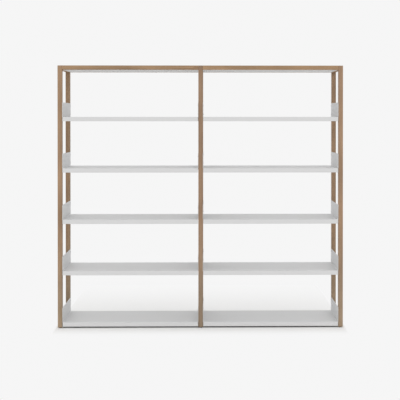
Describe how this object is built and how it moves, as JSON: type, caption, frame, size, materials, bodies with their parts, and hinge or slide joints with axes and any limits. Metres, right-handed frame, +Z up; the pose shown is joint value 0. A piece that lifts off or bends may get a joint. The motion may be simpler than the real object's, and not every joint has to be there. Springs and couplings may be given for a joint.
{
  "type": "shelving unit",
  "caption": "Open floor-standing shelving unit with two bays: oak posts and top rails carry folded white steel shelf trays with upturned ends, on levelling feet.",
  "frame": {"origin": "middle of the footprint, on the floor", "axes": "+X along the width to the right seen from the front, -Y to the front, +Z up"},
  "size_m": [2, 0.35, 1.84],
  "materials": {
    "oak": "oiled solid oak, fine open grain, satin",
    "beech": "plain beech dowel",
    "white_steel": "white powder coat, fine matt texture",
    "white_bolts": "white painted button-head bolts and pan-head screws",
    "zinc_steel": "bright zinc plate",
    "brass": "plain brass",
    "foot_plastic": "matt black nylon"
  },
  "bodies": {
    "frame": {"post_front_left": "oak", "foot_insert_front_left": "brass", "post_front_centre": "oak", "foot_insert_front_centre": "brass", "post_front_right": "oak", "foot_insert_front_right": "brass", "post_rear_left": "oak", "foot_insert_rear_left": "brass", "post_rear_centre": "oak", "foot_insert_rear_centre": "brass", "post_rear_right": "oak", "foot_insert_rear_right": "brass", "top_rail_front_left": "oak", "top_rail_front_right": "oak", "top_rail_rear_left": "oak", "top_rail_rear_right": "oak", "side_rail_left": "oak", "side_rail_centre": "oak", "side_rail_right": "oak", "top_tray_left": "white_steel", "shelf_left_1": "white_steel", "shelf_left_2": "white_steel", "shelf_left_3": "white_steel", "shelf_left_4": "white_steel", "shelf_left_5": "white_steel", "top_tray_right": "white_steel", "shelf_right_1": "white_steel", "shelf_right_2": "white_steel", "shelf_right_3": "white_steel", "shelf_right_4": "white_steel", "shelf_right_5": "white_steel", "shelf_bolts_level_1": "white_bolts", "shelf_inserts_level_1": "brass", "shelf_bolts_level_2": "white_bolts", "shelf_inserts_level_2": "brass", "shelf_bolts_level_3": "white_bolts", "shelf_inserts_level_3": "brass", "shelf_bolts_level_4": "white_bolts", "shelf_inserts_level_4": "brass", "shelf_bolts_level_5": "white_bolts", "shelf_inserts_level_5": "brass", "rail_studs": "zinc_steel", "rail_stud_washers": "zinc_steel", "rail_stud_nuts": "zinc_steel", "rail_dowels": "beech", "top_tray_screws": "white_bolts"},
    "foot_pad_front_left": {"foot_pad_front_left": "foot_plastic"},
    "foot_stem_front_left": {"foot_stem_front_left": "zinc_steel"},
    "foot_pad_front_centre": {"foot_pad_front_centre": "foot_plastic"},
    "foot_stem_front_centre": {"foot_stem_front_centre": "zinc_steel"},
    "foot_pad_front_right": {"foot_pad_front_right": "foot_plastic"},
    "foot_stem_front_right": {"foot_stem_front_right": "zinc_steel"},
    "foot_pad_rear_left": {"foot_pad_rear_left": "foot_plastic"},
    "foot_stem_rear_left": {"foot_stem_rear_left": "zinc_steel"},
    "foot_pad_rear_centre": {"foot_pad_rear_centre": "foot_plastic"},
    "foot_stem_rear_centre": {"foot_stem_rear_centre": "zinc_steel"},
    "foot_pad_rear_right": {"foot_pad_rear_right": "foot_plastic"},
    "foot_stem_rear_right": {"foot_stem_rear_right": "zinc_steel"}
  },
  "joints": [
    {"name": "foot_drop_front_left", "type": "slide", "parent": "frame", "child": "foot_pad_front_left", "axis": [0, 0, -1], "range_m": [0, 0.012]},
    {"name": "foot_turn_front_left", "type": "hinge", "parent": "foot_pad_front_left", "child": "foot_stem_front_left", "pos_m": [-0.9845, -0.1595, 0.003], "axis": [0, 0, -1], "range_deg": [0, 3456]},
    {"name": "foot_drop_front_centre", "type": "slide", "parent": "frame", "child": "foot_pad_front_centre", "axis": [0, 0, -1], "range_m": [0, 0.012]},
    {"name": "foot_turn_front_centre", "type": "hinge", "parent": "foot_pad_front_centre", "child": "foot_stem_front_centre", "pos_m": [0, -0.1595, 0.003], "axis": [0, 0, -1], "range_deg": [0, 3456]},
    {"name": "foot_drop_front_right", "type": "slide", "parent": "frame", "child": "foot_pad_front_right", "axis": [0, 0, -1], "range_m": [0, 0.012]},
    {"name": "foot_turn_front_right", "type": "hinge", "parent": "foot_pad_front_right", "child": "foot_stem_front_right", "pos_m": [0.9845, -0.1595, 0.003], "axis": [0, 0, -1], "range_deg": [0, 3456]},
    {"name": "foot_drop_rear_left", "type": "slide", "parent": "frame", "child": "foot_pad_rear_left", "axis": [0, 0, -1], "range_m": [0, 0.012]},
    {"name": "foot_turn_rear_left", "type": "hinge", "parent": "foot_pad_rear_left", "child": "foot_stem_rear_left", "pos_m": [-0.9845, 0.1595, 0.003], "axis": [0, 0, -1], "range_deg": [0, 3456]},
    {"name": "foot_drop_rear_centre", "type": "slide", "parent": "frame", "child": "foot_pad_rear_centre", "axis": [0, 0, -1], "range_m": [0, 0.012]},
    {"name": "foot_turn_rear_centre", "type": "hinge", "parent": "foot_pad_rear_centre", "child": "foot_stem_rear_centre", "pos_m": [0, 0.1595, 0.003], "axis": [0, 0, -1], "range_deg": [0, 3456]},
    {"name": "foot_drop_rear_right", "type": "slide", "parent": "frame", "child": "foot_pad_rear_right", "axis": [0, 0, -1], "range_m": [0, 0.012]},
    {"name": "foot_turn_rear_right", "type": "hinge", "parent": "foot_pad_rear_right", "child": "foot_stem_rear_right", "pos_m": [0.9845, 0.1595, 0.003], "axis": [0, 0, -1], "range_deg": [0, 3456]}
  ],
  "couplings": [
    {"joint": "foot_drop_front_left", "follows": "foot_turn_front_left", "m_per_rad": 0.00019894},
    {"joint": "foot_drop_front_centre", "follows": "foot_turn_front_centre", "m_per_rad": 0.00019894},
    {"joint": "foot_drop_front_right", "follows": "foot_turn_front_right", "m_per_rad": 0.00019894},
    {"joint": "foot_drop_rear_left", "follows": "foot_turn_rear_left", "m_per_rad": 0.00019894},
    {"joint": "foot_drop_rear_centre", "follows": "foot_turn_rear_centre", "m_per_rad": 0.00019894},
    {"joint": "foot_drop_rear_right", "follows": "foot_turn_rear_right", "m_per_rad": 0.00019894}
  ]
}
